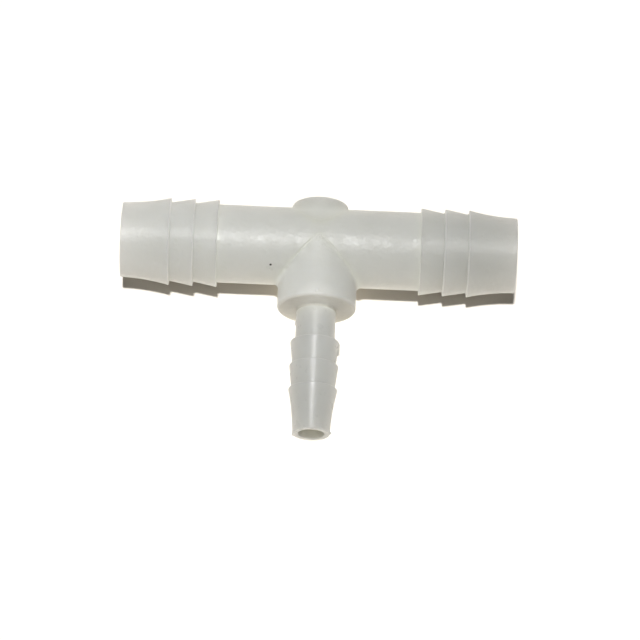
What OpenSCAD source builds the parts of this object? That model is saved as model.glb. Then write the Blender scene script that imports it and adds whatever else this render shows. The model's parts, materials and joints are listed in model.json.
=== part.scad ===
// Barbed tee connector for flexible hose.
// The run lies along X with a large hose tail at each end. A smaller hose tail
// branches off towards -Y, and a round blank boss stands opposite it, towards +Y.
// The origin is the point where the axes of the two bores cross, and +Z is
// square to both of them. All sizes are in millimetres.
//
// The real fitting is one injection moulding. It is divided here into the
// sections that its mould is divided into, and each one is a solid of its own
// that meets its neighbours face to face.

/* [Run] */
// Length of the run, from tip to tip
run_length = 64; // [60:0.5:90]
// Outside diameter of the run between its barbs, which is the hose's bore
run_d = 12.7; // [12.2:0.1:13.2]
// Bore of the run, right through
run_bore_d = 9.5; // [8:0.1:10.4]
// Diameter over the crests of the run's barbs
run_crest_d = 14.14; // [13.6:0.02:15]
// Outside diameter of the run at its tips
run_tip_d = 12.15; // [11.8:0.05:12.4]
// Distance from a run tip to the back of its first barb
run_lead = 7.8; // [6:0.1:9]
// Distance from one run barb to the next
run_pitch = 3.9; // [3.4:0.1:4.4]
// Share of the run's lead-in that is a straight cone, the rest being a sweep
run_cone_share = 0.1; // [0:0.05:1]

/* [Branch] */
// Distance from the run's axis to the tip of the branch
branch_reach = 32.4; // [30.4:0.5:50.4]
// Distance from the run's axis to the shoulder at the foot of the branch tail
shoulder_reach = 11; // [9:0.1:12]
// Depth of the tapered spigot that seats the branch tail in the hub
spigot_depth = 1; // [0.5:0.1:2]
// Diameter of that spigot at its narrow, inner end
spigot_d = 5.8; // [5.2:0.1:6.1]
// Outside diameter of the branch tail's root, which is the small hose's bore
branch_d = 6.35; // [6.2:0.05:6.6]
// Bore of the branch
branch_bore_d = 4.2; // [3.6:0.1:4.9]
// Diameter over the crests of the branch's barbs
branch_crest_d = 7.86; // [7.4:0.02:8.2]
// Diameter at the narrow end of each branch barb
branch_valley_d = 6.92; // [6.5:0.02:7.2]
// Outside diameter of the branch at its tip
branch_tip_d = 5.95; // [5.7:0.05:6.1]
// Distance from the branch tip to the back of its first barb
branch_lead = 7.55; // [6.05:0.1:8.05]
// Distance from one branch barb to the next
branch_pitch = 4.05; // [3.5:0.05:4.3]
// Share of the branch's lead-in that is a straight cone, the rest being a sweep
branch_cone_share = 0.28; // [0:0.02:1]

/* [Barbs] */
// Number of barbs on each hose tail
barb_count = 3; // [2:1:3]
// Length of the narrow cylinder on each barb's crest
crest_land = 0.2; // [0.1:0.05:0.4]
// Length and depth of the bevel round each tip
tip_bevel = 0.12; // [0.05:0.01:0.2]

/* [Boss] */
// Diameter of the blank boss opposite the branch
boss_d = 9.1; // [7.1:0.1:10]
// Distance from the run's axis to the flat end of the boss
boss_reach = 7.1; // [6.8:0.05:8]

/* [Hidden] */

$fn = 96;
moulded = [0.86, 0.87, 0.84];          // natural, undyed polypropylene
lead_steps = 8;                        // cones that make up one lead-in sweep
clear = 1;                             // how far a cutter runs past what it cuts
run_tail_length = run_lead + (barb_count - 1) * run_pitch;
branch_tail_length = branch_reach - shoulder_reach;
middle_length = run_length - 2 * run_tail_length;

// Radius of a lead-in at a share s of its length, from tip to crest
function lead_radius(s, tip_r, crest_r, cone_share) =
    tip_r + (crest_r - tip_r) * (cone_share * s + (1 - cone_share) * s * s);

// Outline of a hose tail as [radius, distance from the tip], tip to root.
// Every barb is a cone with a narrow land on its crest and a square back.
function tail_outline(length, root_d, tip_d, valley_d, crest_d, lead, pitch, cone_share) =
    let (tip_r = tip_d / 2, crest_r = crest_d / 2, sweep = lead - crest_land)
    concat(
        [[tip_r - tip_bevel, 0]],
        [for (i = [0 : lead_steps])
            let (s = i / lead_steps, bevel = i == 0 ? tip_bevel : 0)
            [lead_radius(s, tip_r, crest_r, cone_share), s * sweep + bevel]],
        [[crest_r, lead]],
        [for (i = [1 : barb_count - 1], corner = [0 : 2])
            let (back = lead + i * pitch)
            corner == 0 ? [valley_d / 2, back - pitch] :
            corner == 1 ? [crest_r, back - crest_land] : [crest_r, back]],
        length > lead + (barb_count - 1) * pitch
            ? [[root_d / 2, lead + (barb_count - 1) * pitch], [root_d / 2, length]] : []);

// Tube turned from an outline, along Z with its tip at the origin
module turned_tube(outline, bore_d, length) {
    difference() {
        rotate_extrude()
            polygon(concat([[0, 0]], outline, [[0, length]]));
        translate([0, 0, -clear])
            cylinder(d = bore_d, h = length + 2 * clear);
    }
}

// Rod along X, centred on the origin
module rod_x(d, length) {
    rotate([0, 90, 0]) cylinder(d = d, h = length, center = true);
}

// Rod along Y, from the run's axis towards -Y (side = -1) or +Y (side = 1)
module rod_y(d, length, side) {
    rotate([-90 * side, 0, 0]) cylinder(d = d, h = length);
}

// Wedge with its edge on +Z through the origin, opening at 90 degrees towards -Y.
// Two rods of one diameter that cross square meet on its two faces.
module mitre_wedge(depth) {
    linear_extrude(height = 2 * run_d, center = true)
        polygon([[0, 0], [-depth, -depth], [depth, -depth]]);
}

// One run tail, with its tip towards +X
module run_tail() {
    translate([run_length / 2, 0, 0])
        rotate([0, -90, 0])
            turned_tube(
                tail_outline(run_tail_length, run_d, run_tip_d, run_d, run_crest_d,
                             run_lead, run_pitch, run_cone_share),
                run_bore_d, run_tail_length);
}

// Middle of the run, with the seat for the branch hub cut out of one side
module centre_body() {
    color(moulded)
        difference() {
            rod_x(run_d, middle_length);
            rod_x(run_bore_d, middle_length + 2 * clear);
            mitre_wedge(run_d);
        }
}

module left_hose_tail() {
    color(moulded) mirror([1, 0, 0]) run_tail();
}

module right_hose_tail() {
    color(moulded) run_tail();
}

// Hub as wide as the run, from the mitre with the run down to its flat shoulder
module branch_hub() {
    color(moulded)
        difference() {
            intersection() {
                rod_y(run_d, shoulder_reach, -1);
                mitre_wedge(shoulder_reach + clear);
            }
            rod_x(run_bore_d, 2 * run_d);
            rod_y(branch_bore_d, shoulder_reach + clear, -1);
            translate([0, -shoulder_reach, 0])
                rotate([-90, 0, 0])
                    cylinder(d1 = branch_d, d2 = spigot_d, h = spigot_depth);
        }
}

// Small hose tail, from the spigot in the hub to its tip at -Y
module branch_hose_tail() {
    tail = tail_outline(branch_tail_length, branch_d, branch_tip_d, branch_valley_d,
                        branch_crest_d, branch_lead, branch_pitch, branch_cone_share);
    spigot = [[spigot_d / 2, branch_tail_length + spigot_depth]];
    color(moulded)
        translate([0, -branch_reach, 0])
            rotate([-90, 0, 0])
                turned_tube(concat(tail, spigot), branch_bore_d,
                            branch_tail_length + spigot_depth);
}

// Round blank boss, saddled on the run's outside
module blank_boss() {
    color(moulded)
        difference() {
            rod_y(boss_d, boss_reach, 1);
            rod_x(run_d, 2 * boss_d);
        }
}

centre_body();
left_hose_tail();
right_hose_tail();
branch_hub();
branch_hose_tail();
blank_boss();
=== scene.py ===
import json
import math

import bmesh
import bpy
import numpy as np
from mathutils import Matrix, Vector


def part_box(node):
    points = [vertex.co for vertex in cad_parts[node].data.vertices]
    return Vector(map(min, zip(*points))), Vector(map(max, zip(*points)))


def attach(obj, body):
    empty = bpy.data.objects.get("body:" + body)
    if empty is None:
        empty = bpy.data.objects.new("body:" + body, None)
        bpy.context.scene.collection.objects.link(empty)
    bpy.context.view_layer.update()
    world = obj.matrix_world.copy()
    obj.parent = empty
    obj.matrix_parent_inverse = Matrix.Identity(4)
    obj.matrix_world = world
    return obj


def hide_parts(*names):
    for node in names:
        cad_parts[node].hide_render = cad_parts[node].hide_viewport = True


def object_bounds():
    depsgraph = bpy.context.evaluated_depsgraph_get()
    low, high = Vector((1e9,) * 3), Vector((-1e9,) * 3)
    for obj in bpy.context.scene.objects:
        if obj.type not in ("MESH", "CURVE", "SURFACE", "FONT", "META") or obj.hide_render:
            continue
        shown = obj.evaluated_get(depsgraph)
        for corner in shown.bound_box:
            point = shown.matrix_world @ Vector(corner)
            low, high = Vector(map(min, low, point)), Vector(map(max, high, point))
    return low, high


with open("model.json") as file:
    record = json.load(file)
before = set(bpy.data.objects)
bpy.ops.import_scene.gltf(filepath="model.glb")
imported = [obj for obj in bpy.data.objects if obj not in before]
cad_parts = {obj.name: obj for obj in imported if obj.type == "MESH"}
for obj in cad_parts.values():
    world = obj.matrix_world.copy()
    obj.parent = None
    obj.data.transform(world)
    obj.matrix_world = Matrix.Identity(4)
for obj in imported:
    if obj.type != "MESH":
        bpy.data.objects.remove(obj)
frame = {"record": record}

MM = 0.001
cad_box = [list(corner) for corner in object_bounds()]

# ---------------------------------------------------------------- sizes, from the frame
MOUNTS = {m["name"]: m for m in frame["record"]["mounts"]}
_, MIDDLE_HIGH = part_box("centre_body")
_, TAIL_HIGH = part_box("right_hose_tail")
BRANCH_LOW, BRANCH_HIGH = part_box("branch_hose_tail")
HUB_LOW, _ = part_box("branch_hub")
_, BOSS_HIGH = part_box("blank_boss")

RUN_R = MIDDLE_HIGH.z                    # plain outside of the run, and of the hub
MIDDLE_X = MIDDLE_HIGH.x                 # where the plain middle ends
RUN_TIP_X = TAIL_HIGH.x
RUN_CREST_R = TAIL_HIGH.z
RUN_BORE_R = MOUNTS["run_bore"]["dims"]["r_mm"] * MM
SHOULDER_Y = HUB_LOW.y
BRANCH_TIP_Y = BRANCH_LOW.y
BRANCH_CREST_R = BRANCH_HIGH.z
BRANCH_BORE_R = MOUNTS["branch_bore"]["dims"]["r_mm"] * MM
BOSS_R = BOSS_HIGH.x
BOSS_Y = BOSS_HIGH.y

# ---------------------------------------------------------------- driving dimensions of the CAD
RUN_TIP_R = 6.075 * MM
RUN_LEAD = 7.8 * MM                      # tip to the back of the first barb
RUN_PITCH = 3.9 * MM                     # from one barb to the next
RUN_CONE_SHARE = 0.1                     # how much of the lead-in is a cone, the rest a curve
BRANCH_ROOT_R = 3.175 * MM
BRANCH_TIP_R = 2.975 * MM
BRANCH_VALLEY_R = 3.46 * MM
BRANCH_LEAD = 7.55 * MM
BRANCH_PITCH = 4.05 * MM
BRANCH_CONE_SHARE = 0.28
BARBS = 3

# ---------------------------------------------------------------- sizes of the details
SEAM = 0.01 * MM                         # gap where two sections of the moulding meet
TOUCH = 0.004 * MM                       # how near counts as touching
HOLD = 0.03 * MM                         # rows this near the ends of a straight hold it flat
FILLET = 1.2 * MM                        # between the run and the hub
RIDGE = 0.075 * MM                       # height of the fine raised line along that fillet
RIDGE_WIDTH = 0.17 * MM
RIDGE_FROM = math.radians(45)            # how far up the crease the line starts
RIDGE_FULL = math.radians(62)            # and how far up it has its whole height
RIDGE_ON_RIGHT = 0.4                     # share of the height that the right arm has
SHOULDER_EDGE = 0.45 * MM
ROOT_FLARE = 0.4 * MM                    # fillet from the shoulder to the branch
ROOT_Y = SHOULDER_Y - 0.5 * MM           # where the hub's own bit of the branch ends
BOSS_EDGE = 0.18 * MM
BOSS_FILLET = 0.6 * MM
BOSS_ANGLES = np.arange(144) * 2 * math.pi / 144
PATCH_R = BOSS_R + 2.2 * BOSS_FILLET     # the piece of the run's wall that the boss stands on
PATCH_FLOOR_R = PATCH_R + 0.1 * MM
TIP_EDGE = 0.16 * MM                     # rounding of a tail's rim, inside and out
CREST_EDGE = 0.06 * MM                   # of a barb's crest
ROOT_EDGE = 0.3 * MM                     # and of the corner behind it
TAIL_ANGLES = 176
WITNESS = 0.018 * MM                     # height of the parting line
WITNESS_WIDTH = 0.02                     # and its width, as a sine of the angle
FLASH_WIDTH = 0.2 * MM
FLASH_END = 0.06 * MM                    # how steeply a fin of flash starts and ends
CREST_LIGHT_WIDTH = 0.1 * MM                    # of the painted light line along a crest
SPECK = (-7.66 * MM, -5.02 * MM, 3.88 * MM)
SCUFF = (-8.0 * MM, -5.3 * MM, 3.5 * MM)
SCUFF_LOW = (-7.5 * MM, -5.5 * MM, 3.2 * MM)
HUB_DENT = (0.0 * MM, -10.2 * MM, 6.33 * MM)

# ---------------------------------------------------------------- colours
MILKY_DARK = (0.70, 0.705, 0.67)
MILKY_LIGHT = (0.74, 0.745, 0.71)
# Painted shade: darker colours for the hub's shoulder face and the boss's end.
SHOULDER_PAINTED_SHADE = (0.50, 0.49, 0.445, 1)
BOSS_PAINTED_SHADE = (0.62, 0.625, 0.59, 1)
# Painted light: the lighter line along the barbs' crests.
CREST_PAINTED_LIGHT = (0.86, 0.865, 0.83, 1)
SPECK_DARK = (0.03, 0.028, 0.025, 1)
# Emission colours: painted light on the hidden faces between sections and round the branch's root.
SEAM_GLOW = (1, 0.99, 0.93, 1)
ROOT_GLOW = (1, 0.98, 0.90, 1)
FLOOR_PALE = (0.75, 0.71, 0.655, 1)
SKY = (1.0, 0.99, 0.97, 1)
WHITE = (1, 1, 1)


# ---------------------------------------------------------------- outlines and meshes
def rounded(corners, steps=5):
    """A polyline through (along, radius, rounding) corners, each turned into an arc.

    Long straight stretches get a point close to each end, which keeps them flat."""
    arcs = []
    for i, (u, r, size) in enumerate(corners):
        here = np.array([u, r])
        if not size or i in (0, len(corners) - 1):
            arcs.append([here])
            continue
        before = np.array(corners[i - 1][:2]) - here
        after = np.array(corners[i + 1][:2]) - here
        len_b, len_a = np.linalg.norm(before), np.linalg.norm(after)
        before, after = before / len_b, after / len_a
        half = math.acos(float(np.clip(before @ after, -1, 1))) / 2
        reach = min(size / math.tan(half), 0.45 * len_b, 0.45 * len_a)
        radius = reach * math.tan(half)
        middle = (before + after) / np.linalg.norm(before + after)
        centre = here + middle * radius / math.sin(half)
        first, last = here + before * reach - centre, here + after * reach - centre
        turn = math.pi - 2 * half
        weights = [(math.sin((1 - s) * turn), math.sin(s * turn))
                   for s in np.linspace(0, 1, steps + 1)]
        arcs.append([centre + (a * first + b * last) / math.sin(turn) for a, b in weights])
    points = list(arcs[0])
    for arc in arcs[1:]:
        span = arc[0] - points[-1]
        length = np.linalg.norm(span)
        if length > 4 * HOLD:
            start = points[-1]
            points += [start + span * HOLD / length, arc[0] - span * HOLD / length]
        points += arc
    return points


def tail_outline(length, lead, pitch, cone_share, tip_r, valley_r, crest_r, root_r, bore_r):
    """Outline of a hose tail as (distance from tip, radius), once round the wall."""
    steps = 14
    corners = [(length, bore_r, 0), (0, bore_r, TIP_EDGE), (0, tip_r, TIP_EDGE)]
    for i in range(1, steps):
        s = i / steps
        blend = cone_share * s + (1 - cone_share) * s * s
        corners.append((s * lead, tip_r + (crest_r - tip_r) * blend, 0))
    for i in range(BARBS):
        back = min(lead + i * pitch, length)
        foot_r = root_r if i == BARBS - 1 else valley_r
        corners.append((back, crest_r, CREST_EDGE))
        corners.append((back, foot_r, ROOT_EDGE))
    if back < length:
        corners.append((length, root_r, 0))
    return rounded(corners)


def part_angles(count):
    """Angles round a circle, closer together at the parting line, which is at 0 and pi."""
    even = np.arange(count) * 2 * math.pi / count
    return even - 0.35 * np.sin(2 * even)


def new_object(name, points, faces):
    """A mesh object of its own in the scene."""
    mesh = bpy.data.meshes.new(name)
    mesh.from_pydata([tuple(map(float, p)) for p in points], [], faces)
    obj = bpy.data.objects.new(name, mesh)
    bpy.context.scene.collection.objects.link(obj)
    return obj


def mark_hidden(obj, hidden, slot=1):
    """Give the faces that meet another section of the moulding another material."""
    for face in obj.data.polygons:
        if all(hidden(obj.data.vertices[v].co) for v in face.vertices):
            face.material_index = slot


def finish_mesh(obj, sharp_angle=32):
    """Merge doubled points, turn the faces outwards and smooth all but the sharp edges."""
    work = bmesh.new()
    work.from_mesh(obj.data)
    bmesh.ops.remove_doubles(work, verts=work.verts, dist=0.0005 * MM)
    bmesh.ops.dissolve_degenerate(work, edges=work.edges, dist=0.0002 * MM)
    bmesh.ops.recalc_face_normals(work, faces=work.faces)
    work.to_mesh(obj.data)
    work.free()
    obj.data.shade_smooth()
    obj.data.set_sharp_from_angle(angle=math.radians(sharp_angle))


def grid_faces(rows, columns, first=0, loop=True):
    """Quads between rows of points that all have the same number of columns."""
    faces = []
    for i in range(rows - 1):
        for j in range(columns if loop else columns - 1):
            k = (j + 1) % columns
            a, b = first + i * columns, first + (i + 1) * columns
            faces.append((a + j, a + k, b + k, b + j))
    return faces


def witness(angle):
    """Height of the thin raised line that the mould's parting leaves, at 0 and at pi."""
    off = np.abs(np.sin(angle))
    return WITNESS * np.exp(-(off / WITNESS_WIDTH) ** 2)


def add_rows(outline, distances):
    """The outline with more points on its outer side, at these distances from the tip."""
    bore_r = min(r for _, r in outline)
    points = []
    for (u, r), (next_u, next_r) in zip(outline, outline[1:] + outline[-1:]):
        points.append((u, r))
        if min(r, next_r) > bore_r + TIP_EDGE:
            points += [(d, r + (next_r - r) * (d - u) / (next_u - u))
                       for d in sorted(distances) if u < d < next_u]
    return points


def turned_tail(name, outline, place, flash):
    """A closed hose tail, turned round its axis, with a parting line and flash.

    place maps (distance from the tip, radius, angle) to a point. flash is a list of
    (from, to, angle, reach): little fins left at the tail's parting line or rim, which
    stand out to reach from the axis."""
    angles = part_angles(TAIL_ANGLES)
    bore_r = min(r for _, r in outline)
    for start, end, _, _ in flash:
        outline = add_rows(outline, (start, start + FLASH_END, end - FLASH_END, end))
    rows = []
    for u, r in outline:
        ring = np.full(len(angles), r)
        if r > bore_r + TIP_EDGE:
            ring = ring + witness(angles)
            for start, end, angle, reach in flash:
                if start < u < end:
                    off = (angles - angle + math.pi) % (2 * math.pi) - math.pi
                    ring = ring + (reach - r) * np.exp(-(off * r / FLASH_WIDTH) ** 2)
        rows.append([place(u, rr, a) for rr, a in zip(ring, angles)])
    points = [p for row in rows for p in row]
    count = len(angles)
    faces = grid_faces(len(rows), count)
    last = (len(rows) - 1) * count
    faces += [(last + j, last + (j + 1) % count, (j + 1) % count, j) for j in range(count)]
    obj = new_object(name, points, faces)
    finish_mesh(obj)
    end = Vector(place(max(u for u, _ in outline), 0, 0))
    outward = (end - Vector(place(0, 0, 0))).normalized()
    mark_hidden(obj, lambda p: abs((p - end).dot(outward)) < 0.001 * MM
                and (p - end).length < outline[-1][1] + 0.03 * MM)
    return obj


def run_tail(name, side):
    """One of the run's tails: side is -1 for the left one, 1 for the right one."""
    outline = tail_outline(RUN_TIP_X - MIDDLE_X - SEAM, RUN_LEAD, RUN_PITCH, RUN_CONE_SHARE,
                           RUN_TIP_R, RUN_R, RUN_CREST_R, RUN_R, RUN_BORE_R)

    def place(u, r, angle):
        return side * (RUN_TIP_X - u), -r * math.cos(angle), r * math.sin(angle)

    flash = [(-TOUCH, 0.35 * MM, 2.05, RUN_TIP_R + 0.14 * MM)] if side > 0 else []
    return turned_tail(name, outline, place, flash)


def branch_tail(name):
    """The branch's tail, with the flash that its mould left on it."""
    outline = tail_outline(ROOT_Y - BRANCH_TIP_Y - 2 * SEAM, BRANCH_LEAD, BRANCH_PITCH,
                           BRANCH_CONE_SHARE, BRANCH_TIP_R, BRANCH_VALLEY_R, BRANCH_CREST_R,
                           BRANCH_ROOT_R, BRANCH_BORE_R)

    def place(u, r, angle):
        return r * math.cos(angle), BRANCH_TIP_Y + u, r * math.sin(angle)

    flash = [
        (13.6 * MM, 15.62 * MM, 0, BRANCH_CREST_R + 0.1 * MM),
        (-TOUCH, 0.4 * MM, 0.12, BRANCH_TIP_R + 0.27 * MM),
        (-TOUCH, 0.35 * MM, math.pi + 0.3, BRANCH_TIP_R + 0.25 * MM),
        (18.6 * MM, 19.3 * MM, math.pi, BRANCH_ROOT_R + 0.15 * MM),
    ]
    return turned_tail(name, outline, place, flash)


def round_angles(steps):
    """Angles from the underside to the top, closer together at both, where walls meet."""
    t = np.linspace(-math.pi / 2, math.pi / 2, steps + 1)
    return t - 0.17 * np.sin(2 * t)


def crease_fillet(side, t):
    """The fillet between the run and the hub, as a function of how far across it is.

    The rolling ball's centre stays over the mitre, so 0.5 is on the mitre plane. The
    returned function gives a row of points, one for each angle of t. Towards the top the
    fillet carries a fine ridge along its middle, unless ridged is 0."""
    cos_t, sin_t = np.cos(t), np.sin(t)
    reach = RUN_R + FILLET
    centre = np.stack([side * reach * cos_t, -reach * cos_t, reach * sin_t], axis=1)
    to_run = np.stack([0 * t, cos_t, -sin_t], axis=1)
    to_hub = np.stack([-side * cos_t, 0 * t, -sin_t], axis=1)
    turn = np.arccos(np.clip((to_run * to_hub).sum(1), -1, 1))[:, None]
    turn = np.maximum(turn, 1e-6)

    high = np.clip((t - RIDGE_FROM) / (RIDGE_FULL - RIDGE_FROM), 0, 1)[:, None]
    high = RIDGE * high * (1 if side < 0 else RIDGE_ON_RIGHT)
    across = turn * FILLET / RIDGE_WIDTH

    def row(s, ridged=1):
        a, b = np.sin((1 - s) * turn), np.sin(s * turn)
        ridge = ridged * high * (np.exp(-((s - 0.5) * across) ** 2) - np.exp(-(0.5 * across) ** 2))
        return centre + (FILLET - ridge) * (a * to_run + b * to_hub) / np.sin(turn)

    return row


def mitre_rows(fillet):
    """Flat rows from the crease in to the axis where the two mitre planes meet.

    On the axis the rows leave the ridge out, so that they are the same from both sides."""
    crease = fillet(0.5)
    axis = fillet(0.5, 0) * (0, 0, 1)
    return [crease + (axis - crease) * g for g in (0, 0.3, 0.65, 1)]


def grids_object(name, grids):
    """One object from grids of points, joined where their edges meet."""
    points, faces = [], []
    for rows in grids:
        faces += grid_faces(len(rows), len(rows[0]), len(points), loop=False)
        points += [p for row in rows for p in row]
    obj = new_object(name, points, faces)
    finish_mesh(obj)
    return obj


def run_middle(name):
    """The run's plain middle, with its half of the fillet, mitred for the hub and bored."""
    t = round_angles(64)
    cos_t, sin_t = np.cos(t), np.sin(t)
    end_x = MIDDLE_X - SEAM
    reach = RUN_R + FILLET
    grade = np.linspace(0, 1, 26) ** 1.6
    grids = []
    for side in (-1, 1):
        fillet = crease_fillet(side, t)
        grids.append(mitre_rows(fillet))
        grids.append([fillet(s) for s in np.linspace(0.5, 0, 11)])
        grids.append([np.stack([side * (reach * cos_t + (end_x - reach * cos_t) * g),
                                -RUN_R * cos_t, RUN_R * sin_t], axis=1) for g in grade])
        grids.append([np.stack([0 * t + side * end_x * g, RUN_R * cos_t, RUN_R * sin_t], axis=1)
                      for g in grade])
        for way in (-1, 1):
            grids.append([np.stack([0 * t + side * end_x, way * r * cos_t, r * sin_t], axis=1)
                          for r in np.linspace(RUN_R, 0, 4)])
    obj = grids_object(name, grids)
    bore(obj, RUN_BORE_R, "X", 2 * MIDDLE_X + 4 * MM, 0)
    bore(obj, BRANCH_BORE_R, "Y", -SHOULDER_Y, SHOULDER_Y / 2)
    cut_away(obj, boss_pocket())
    finish_mesh(obj)

    def hidden(p):
        on_mitre = abs(abs(p.x) + p.y) < TOUCH
        out = math.hypot(p.x, p.z) - PATCH_R - SEAM
        on_floor = abs(math.hypot(p.y, p.z) - PATCH_FLOOR_R + SEAM) < TOUCH and out < TOUCH
        in_pocket = p.y > 0 and (abs(out) < TOUCH or on_floor)
        return abs(p.x) > end_x - TOUCH or on_mitre or in_pocket

    mark_hidden(obj, hidden)
    return obj


def hub(name):
    """The hub, with its half of the fillet, a rounded shoulder edge and its bore."""
    past = 8 * MM                        # how far the bore's cutter passes the shoulder
    t = round_angles(64)
    cos_t, sin_t = np.cos(t), np.sin(t)
    reach = RUN_R + FILLET
    foot = SHOULDER_Y + SHOULDER_EDGE
    flat = RUN_R - SHOULDER_EDGE
    grids = []
    for side in (-1, 1):
        fillet = crease_fillet(side, t)
        grids.append(mitre_rows(fillet))
        rows = [fillet(s) for s in np.linspace(0.5, 1, 11)]
        for g in np.linspace(0, 1, 30)[1:] ** 1.4:
            rows.append(np.stack([side * RUN_R * cos_t, -reach * cos_t + (foot + reach * cos_t) * g,
                                  RUN_R * sin_t], axis=1))
        for s in np.linspace(0, math.pi / 2, 8)[1:]:
            r = RUN_R - SHOULDER_EDGE * (1 - math.cos(s))
            rows.append(np.stack([side * r * cos_t, 0 * t + foot - SHOULDER_EDGE * math.sin(s),
                                  r * sin_t], axis=1))
        face = [(r, SHOULDER_Y) for r in (flat - HOLD, 0.75 * RUN_R)]
        for s in np.linspace(0, math.pi / 2, 8):
            face.append((BRANCH_ROOT_R + ROOT_FLARE * (1 - math.sin(s)),
                         SHOULDER_Y - ROOT_FLARE * (1 - math.cos(s))))
        face += [(r, ROOT_Y) for r in (BRANCH_ROOT_R, BRANCH_ROOT_R / 2, 0)]
        rows += [np.stack([side * r * cos_t, 0 * t + y, r * sin_t], axis=1) for r, y in face]
        grids.append(rows)
    obj = grids_object(name, grids)
    obj.data.transform(Matrix.Translation((0, -SEAM, 0)))
    bore(obj, RUN_BORE_R, "X", 2 * MIDDLE_X, 0)
    bore(obj, BRANCH_BORE_R, "Y", -SHOULDER_Y + past, (SHOULDER_Y - past) / 2)
    finish_mesh(obj)

    mark_hidden(obj, lambda p: abs(abs(p.x) + p.y + SEAM) < TOUCH)
    mark_hidden(obj, lambda p: p.y < ROOT_Y, 2)
    return obj


def bore(obj, radius, axis, length, middle):
    """Cut a round hole through a mesh along X or Y, with its middle that far along it."""
    work = bmesh.new()
    bmesh.ops.create_cone(work, cap_ends=True, segments=144, radius1=radius, radius2=radius,
                          depth=length)
    turn = Matrix.Rotation(math.pi / 2, 4, "Y" if axis == "X" else "X")
    shift = Vector((middle, 0, 0)) if axis == "X" else Vector((0, middle, 0))
    work.transform(Matrix.Translation(shift) @ turn)
    mesh = bpy.data.meshes.new("cutter")
    work.to_mesh(mesh)
    work.free()
    cutter = bpy.data.objects.new("cutter", mesh)
    bpy.context.scene.collection.objects.link(cutter)
    cut_away(obj, cutter)


def cut_away(obj, cutter):
    """Take the cutter's volume out of obj, and delete the cutter."""
    cut = obj.modifiers.new("cut", "BOOLEAN")
    cut.operation = "DIFFERENCE"
    cut.solver = "EXACT"
    cut.object = cutter
    apply_modifiers(obj)
    bpy.data.meshes.remove(cutter.data)


def apply_modifiers(obj):
    """Make the result of an object's modifiers its own mesh."""
    bpy.context.view_layer.update()
    result = obj.evaluated_get(bpy.context.evaluated_depsgraph_get())
    mesh = bpy.data.meshes.new_from_object(result)
    obj.modifiers.clear()
    old, obj.data = obj.data, mesh
    bpy.data.meshes.remove(old)


def boss_ring(radius, y):
    """Points round the boss's axis; radius and y may differ from angle to angle."""
    return np.stack([radius * np.cos(BOSS_ANGLES), y + 0 * BOSS_ANGLES,
                     radius * np.sin(BOSS_ANGLES)], axis=1)


def saddle(radius, wall_r):
    """Height at which a circle round the boss's axis meets a cylinder round the run's."""
    return np.sqrt(wall_r ** 2 - (radius * np.sin(BOSS_ANGLES)) ** 2)


def patch_floor_rows(gap):
    """Rows in to the middle, over the inner side of the boss's patch of the run's wall."""
    return [boss_ring(r, saddle(r, PATCH_FLOOR_R - gap))
            for r in (PATCH_R + gap) * np.linspace(1, 0, 16)]


def boss_pocket():
    """A cutter that makes room for the boss's patch in the run's wall."""
    top = RUN_R + 1 * MM
    rows = [boss_ring(0, top), boss_ring(PATCH_R + SEAM, top)] + patch_floor_rows(SEAM)
    pocket = new_object("cutter", np.concatenate(rows), grid_faces(len(rows), len(BOSS_ANGLES)))
    finish_mesh(pocket)
    return pocket


def boss_piece(name):
    """The round blank boss: flat end, rounded edge, side, and a fillet onto its own patch
    of the run's wall."""
    flat = BOSS_R - BOSS_EDGE
    rows = [boss_ring(r, BOSS_Y) for r in (0, flat / 2, flat - HOLD, flat)]
    for s in np.linspace(0, math.pi / 2, 6)[1:]:
        rows.append(boss_ring(BOSS_R - BOSS_EDGE * (1 - math.sin(s)),
                              BOSS_Y - BOSS_EDGE * (1 - math.cos(s))))
    top = BOSS_Y - BOSS_EDGE
    width = BOSS_FILLET * (1 + np.sin(BOSS_ANGLES) ** 2)
    height = 0.85 * (top - saddle(BOSS_R, RUN_R))
    foot = saddle(BOSS_R, RUN_R) + height
    for s in (0.1, 0.5, 0.9, 1):
        rows.append(boss_ring(BOSS_R, top + (foot - top) * s))
    for s in np.linspace(0, 1, 15)[1:]:
        r = BOSS_R + width * s * s
        rows.append(boss_ring(r, saddle(r, RUN_R) + height * (1 - s) ** 2))
    for s in np.linspace(0, 1, 5)[1:]:
        r = BOSS_R + width + (PATCH_R - BOSS_R - width) * s
        rows.append(boss_ring(r, saddle(r, RUN_R)))
    rows += patch_floor_rows(0)
    obj = new_object(name, np.concatenate(rows), grid_faces(len(rows), len(BOSS_ANGLES)))
    finish_mesh(obj)
    mark_hidden(obj, lambda p: math.hypot(p.x, p.z) > PATCH_R - TOUCH
                or abs(math.hypot(p.y, p.z) - PATCH_FLOOR_R) < TOUCH)
    return obj


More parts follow.
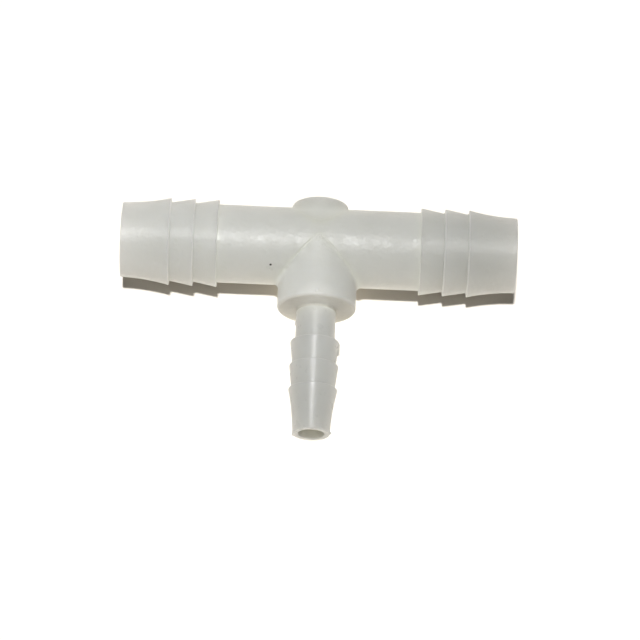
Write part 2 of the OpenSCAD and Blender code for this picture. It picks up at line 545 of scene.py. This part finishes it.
# ---------------------------------------------------------------- material
def moulded_plastic(name, roughness, scatter, grain, painted_shade_factor=1.0, painted_shade_end=None, painted_crest_light=None, painted_glow=None,
                    specks=(), dents=()):
    """Natural polypropylene: milky, lets a little light through, satin moulded skin.

    grain is the depth of the skin's fine bumps. painted_shade_factor scales the plastic's colour
    down: painted shade, for a copy of it that stands in shade. painted_shade_end is (y where it
    starts, y where it is full, colour) for painted shade that darkens the colour towards that end.
    painted_crest_light is (axis, distances along it) for the barbs' crests: painted light, a
    lighter line that stands in for light shining through the thin edge. painted_glow is (place,
    radius, strength) for painted light: an emission glow that stands in for light coming through
    from the section next to this one. specks and dents are (place, radius) pairs on the part:
    dark bits moulded in, and small hollows in the skin."""
    mat = bpy.data.materials.new(name)
    mat.use_nodes = True
    tree = mat.node_tree
    nodes, links = tree.nodes, tree.links
    shader = nodes["Principled BSDF"]
    place = nodes.new("ShaderNodeTexCoord").outputs["Object"]

    def noise(scale, detail):
        node = nodes.new("ShaderNodeTexNoise")
        node.inputs["Scale"].default_value = scale
        node.inputs["Detail"].default_value = detail
        links.new(place, node.inputs["Vector"])
        return node.outputs["Fac"]

    def ramp(source, *stops):
        node = nodes.new("ShaderNodeValToRGB")
        links.new(source, node.inputs["Fac"])
        for i, (at, colour) in enumerate(stops):
            stop = node.color_ramp.elements[i] if i < 2 else node.color_ramp.elements.new(at)
            stop.position, stop.color = at, colour
        return node.outputs["Color"]

    def fade(source, start, end):
        """1 where source is below start, 0 where it is above end."""
        node = nodes.new("ShaderNodeMapRange")
        links.new(source, node.inputs["Value"])
        node.inputs["From Min"].default_value = start
        node.inputs["From Max"].default_value = end
        node.inputs["To Min"].default_value = 1
        node.inputs["To Max"].default_value = 0
        return node.outputs["Result"]

    def near(spot, radius):
        """1 at the spot, 0 from the radius outwards, with a ragged edge."""
        wobble = nodes.new("ShaderNodeTexNoise")
        wobble.inputs["Scale"].default_value = 6000
        shift = nodes.new("ShaderNodeVectorMath")
        shift.operation = "SCALE"
        shift.inputs["Scale"].default_value = 0.8 * radius
        links.new(place, wobble.inputs["Vector"])
        links.new(wobble.outputs["Color"], shift.inputs[0])
        moved = nodes.new("ShaderNodeVectorMath")
        links.new(place, moved.inputs[0])
        links.new(shift.outputs[0], moved.inputs[1])
        node = nodes.new("ShaderNodeVectorMath")
        node.operation = "DISTANCE"
        links.new(moved.outputs[0], node.inputs[0])
        node.inputs[1].default_value = [v + 0.4 * radius for v in spot]
        return fade(node.outputs["Value"], 0.5 * radius, radius)

    def blend(share, first, second):
        node = nodes.new("ShaderNodeMix")
        node.data_type = "RGBA"
        links.new(share, node.inputs["Factor"])
        links.new(first, node.inputs["A"])
        node.inputs["B"].default_value = second
        return node.outputs["Result"]

    # Painted shade: both shades are scaled down by the painted shade factor, for a copy of the
    # plastic that stands in shade.
    darker, lighter = (tuple(c * painted_shade_factor for c in shade) + (1,) for shade in (MILKY_DARK, MILKY_LIGHT))
    colour = ramp(noise(160, 3), (0.3, darker), (0.7, lighter))
    split = nodes.new("ShaderNodeSeparateXYZ")
    links.new(place, split.inputs["Vector"])
    # Painted shade: the colour darkens towards one end along y.
    if painted_shade_end:
        start, full, painted_shade_colour = painted_shade_end
        colour = blend(fade(split.outputs["Y"], full, start), colour, painted_shade_colour)
    # Painted light: a lighter line along each crest, standing in for light that shines through its
    # thin edge.
    if painted_crest_light:
        axis, crests = painted_crest_light
        along = nodes.new("ShaderNodeMath")
        along.operation = "ABSOLUTE"
        links.new(split.outputs[axis], along.inputs[0])
        for crest in crests:
            off = nodes.new("ShaderNodeMath")
            off.operation = "COMPARE"
            links.new(along.outputs["Value"], off.inputs[0])
            off.inputs[1].default_value = crest
            off.inputs[2].default_value = CREST_LIGHT_WIDTH
            colour = blend(off.outputs["Value"], colour, CREST_PAINTED_LIGHT)
    # Painted light: an emission glow round a given place, fading out towards the radius.
    if painted_glow:
        middle, radius, strength = painted_glow
        away = nodes.new("ShaderNodeVectorMath")
        away.operation = "DISTANCE"
        links.new(place, away.inputs[0])
        away.inputs[1].default_value = middle
        glow = nodes.new("ShaderNodeMath")
        glow.operation = "MULTIPLY"
        links.new(fade(away.outputs["Value"], 0.4 * radius, radius), glow.inputs[0])
        glow.inputs[1].default_value = strength
        links.new(glow.outputs["Value"], shader.inputs["Emission Strength"])
        shader.inputs["Emission Color"].default_value = ROOT_GLOW
        mat.cycles.emission_sampling = "NONE"
    for spot, radius in specks:
        colour = blend(near(spot, radius), colour, SPECK_DARK)
    links.new(colour, shader.inputs["Base Color"])
    gloss = ramp(noise(700, 4), (0.3, (roughness - 0.08,) * 3 + (1,)),
                 (0.7, (roughness + 0.1,) * 3 + (1,)))
    links.new(gloss, shader.inputs["Roughness"])
    shader.inputs["Subsurface Weight"].default_value = 1.0
    shader.inputs["Subsurface Radius"].default_value = (1.0, 0.98, 0.94)
    shader.inputs["Subsurface Scale"].default_value = scatter
    shader.inputs["IOR"].default_value = 1.49

    bump = nodes.new("ShaderNodeBump")
    bump.inputs["Strength"].default_value = 1.0
    bump.inputs["Distance"].default_value = grain
    links.new(noise(1300, 2), bump.inputs["Height"])
    skin = bump.outputs["Normal"]
    for spot, radius in dents:
        dent = nodes.new("ShaderNodeBump")
        dent.invert = True
        dent.inputs["Strength"].default_value = 1.0
        dent.inputs["Distance"].default_value = 0.12 * MM
        links.new(near(spot, radius), dent.inputs["Height"])
        links.new(skin, dent.inputs["Normal"])
        skin = dent.outputs["Normal"]
    links.new(skin, shader.inputs["Normal"])
    return mat


def seam_plastic(name, strength):
    """For the hidden faces where two sections meet: they glow as much as the plastic does
    inside, because light that scatters in one section can't cross into the next."""
    mat = moulded_plastic(name, roughness=0.5, scatter=4 * MM, grain=0.09 * MM)
    shader = mat.node_tree.nodes["Principled BSDF"]
    shader.inputs["Emission Color"].default_value = SEAM_GLOW
    shader.inputs["Emission Strength"].default_value = strength
    mat.cycles.emission_sampling = "NONE"
    return mat


# ---------------------------------------------------------------- stage
def aim_camera():
    """The photograph's view: from the branch side, 67.6 degrees above the tee's plane."""
    elevation = math.radians(67.6)
    roll = math.radians(2.4)
    distance = 0.568
    aim = Vector((0.68 * MM, -12.69 * MM, 0))
    back = Vector((0, -math.cos(elevation), math.sin(elevation)))
    level_right = Vector((1, 0, 0))
    level_up = Vector((0, math.sin(elevation), math.cos(elevation)))
    right = level_right * math.cos(roll) + level_up * math.sin(roll)
    up = level_up * math.cos(roll) - level_right * math.sin(roll)
    data = bpy.data.cameras.new("camera")
    data.lens = 198.3
    data.sensor_width = 36
    cam = bpy.data.objects.new("camera", data)
    cam.matrix_world = Matrix.Translation(aim + back * distance) @ Matrix(
        (right, up, back)).transposed().to_4x4()
    bpy.context.scene.collection.objects.link(cam)
    bpy.context.scene.camera = cam


def area_light(name, place, aim, size, size_y, power):
    """A white, elliptical soft light at place, turned towards aim."""
    data = bpy.data.lights.new(name, "AREA")
    data.shape = "ELLIPSE"
    data.size = size
    data.size_y = size_y
    data.energy = power
    data.color = WHITE
    lamp = bpy.data.objects.new(name, data)
    lamp.location = place
    lamp.rotation_mode = "QUATERNION"
    lamp.rotation_quaternion = (Vector(aim) - Vector(place)).to_track_quat("-Z", "Y")
    bpy.context.scene.collection.objects.link(lamp)
    return lamp


def lay_floor():
    """A plain pale table under the part, wide enough to fill low views."""
    mat = bpy.data.materials.new("floor")
    mat.use_nodes = True
    shader = mat.node_tree.nodes["Principled BSDF"]
    shader.inputs["Base Color"].default_value = FLOOR_PALE
    shader.inputs["Roughness"].default_value = 0.9
    half = 4.0
    z = cad_box[0][2]
    floor = new_object("floor", [(-half, -half, z), (half, -half, z), (half, half, z),
                                 (-half, half, z)], [(0, 1, 2, 3)])
    floor.data.materials.append(mat)
    TABLE.objects.link(floor)


def light_studio():
    """A dim sky that the camera sees as a pale backdrop, a long soft strip over the part, a
    lamp for the table alone, which whitens it, a lamp for each tail that only adds its streak
    of gloss, and a soft fill for the hub."""
    world = bpy.data.worlds.new("studio")
    world.use_nodes = True
    tree = world.node_tree
    sky = tree.nodes["Background"]
    sky.inputs["Color"].default_value = SKY
    sky.inputs["Strength"].default_value = 0.06
    backdrop = tree.nodes.new("ShaderNodeBackground")
    backdrop.inputs["Color"].default_value = SKY
    backdrop.inputs["Strength"].default_value = 0.95
    seen = tree.nodes.new("ShaderNodeLightPath")
    either = tree.nodes.new("ShaderNodeMixShader")
    tree.links.new(seen.outputs["Is Camera Ray"], either.inputs["Fac"])
    tree.links.new(sky.outputs["Background"], either.inputs[1])
    tree.links.new(backdrop.outputs["Background"], either.inputs[2])
    tree.links.new(either.outputs["Shader"], tree.nodes["World Output"].inputs["Surface"])
    bpy.context.scene.world = world
    strip = area_light("strip", (-0.035, 0.016, 0.6), (-0.06, 0.085, 0), 0.11, 0.27, 0.215)
    strip.data.spread = math.radians(40)
    strip.light_linking.receiver_collection = LIT
    table = area_light("table", (-0.2, -0.45, 6.0), (0, 0, 0), 0.4, 0.35, 530)
    table.light_linking.receiver_collection = TABLE
    table.light_linking.blocker_collection = BLOCKERS
    for name, place, size, size_y, power, tail in (
        ("branch_streak", (-0.02, 0.24, 0.6), 0.07, 0.16, 0.08, "moulded_branch_tail"),
        ("left_streak", (-0.27, 0.016, 0.56), 0.16, 0.10, 0.08, "moulded_left_tail"),
        ("right_streak", (0.27, 0.016, 0.56), 0.16, 0.10, 0.10, "moulded_right_tail"),
    ):
        streak = area_light(name, place, (0, 0, 0), size, size_y, power)
        streak.visible_diffuse = False
        streak.data.spread = math.radians(60)
        streak.light_linking.receiver_collection = bpy.data.collections.new(tail + "_light")
        STREAKS[tail] = streak.light_linking.receiver_collection
    fill = area_light("hub_fill", (-0.17, -0.35, 0.25), (0, -0.006, 0), 0.15, 0.15, 0.44)
    fill.light_linking.receiver_collection = HUB_LIT


# ---------------------------------------------------------------- the scene
bpy.context.scene.view_settings.view_transform = "Standard"
bpy.context.scene.cycles.max_bounces = 32
bpy.context.scene.cycles.diffuse_bounces = 24
LIT = bpy.data.collections.new("strip_receivers")
HUB_LIT = bpy.data.collections.new("hub_fill_receivers")
TABLE = bpy.data.collections.new("table_lights")
BLOCKERS = bpy.data.collections.new("table_blockers")
STREAKS = {}                             # piece name: what its own streak lamp lights
aim_camera()
light_studio()
lay_floor()

seam = seam_plastic("seam_polypropylene", 0.15)
root_seam = seam_plastic("root_seam_polypropylene", 0.18)
run_crests = [RUN_TIP_X - RUN_LEAD - i * RUN_PITCH for i in range(BARBS)]
branch_crests = [-BRANCH_TIP_Y - BRANCH_LEAD - i * BRANCH_PITCH for i in range(BARBS)]
# The run tails are shaded copies of one plastic: painted shade darkens the right one more than the
# left, for light that falls off towards the right. Both also carry painted light along their
# crests.
left_skin = moulded_plastic("left_polypropylene", roughness=0.40, scatter=4 * MM,
                            grain=0.1 * MM, painted_shade_factor=0.985, painted_crest_light=("X", run_crests))
right_skin = moulded_plastic("right_polypropylene", roughness=0.40, scatter=4 * MM,
                             grain=0.1 * MM, painted_shade_factor=0.93, painted_crest_light=("X", run_crests))
marked = moulded_plastic("marked_polypropylene", roughness=0.42, scatter=4 * MM,
                         grain=0.1 * MM, specks=[(SPECK, 0.24 * MM)],
                         dents=[(SCUFF, 0.35 * MM), (SCUFF_LOW, 0.25 * MM)])
# Painted shade: the hub's colour darkens over its shoulder face.
hub_skin = moulded_plastic("hub_polypropylene", roughness=0.42, scatter=3 * MM,
                           grain=0.09 * MM, painted_shade_end=(-10.5 * MM, -11.0 * MM, SHOULDER_PAINTED_SHADE),
                           # painted light: an emission glow on the shoulder round the branch's root
                           painted_glow=((0, SHOULDER_Y, 3.4 * MM), 4.0 * MM, 0.17),
                           dents=[(HUB_DENT, 0.4 * MM)])
# Painted shade: the boss's colour darkens towards its end.
boss_skin = moulded_plastic("boss_polypropylene", roughness=0.42, scatter=4 * MM,
                            grain=0.09 * MM, painted_shade_end=(4.6 * MM, 6.4 * MM, BOSS_PAINTED_SHADE))
# Painted light: lighter lines along the branch tail's crests.
glossy = moulded_plastic("glossy_polypropylene", roughness=0.33, scatter=1.9 * MM,
                         grain=0.015 * MM, painted_crest_light=("Y", branch_crests))

for piece, material, node in (
    (run_middle("moulded_middle"), marked, "centre_body"),
    (hub("moulded_hub"), hub_skin, "branch_hub"),
    (boss_piece("moulded_boss"), boss_skin, "blank_boss"),
    (run_tail("moulded_left_tail", -1), left_skin, "left_hose_tail"),
    (run_tail("moulded_right_tail", 1), right_skin, "right_hose_tail"),
    (branch_tail("moulded_branch_tail"), glossy, "branch_hose_tail"),
):
    piece.data.materials.append(material)
    piece.data.materials.append(seam)
    LIT.objects.link(piece)
    if piece.name in STREAKS:
        STREAKS[piece.name].objects.link(piece)
    if piece.name == "moulded_hub":
        piece.data.materials.append(root_seam)
        HUB_LIT.objects.link(piece)
    elif piece.name != "moulded_branch_tail":
        BLOCKERS.objects.link(piece)
    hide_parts(node)
    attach(piece, "root")
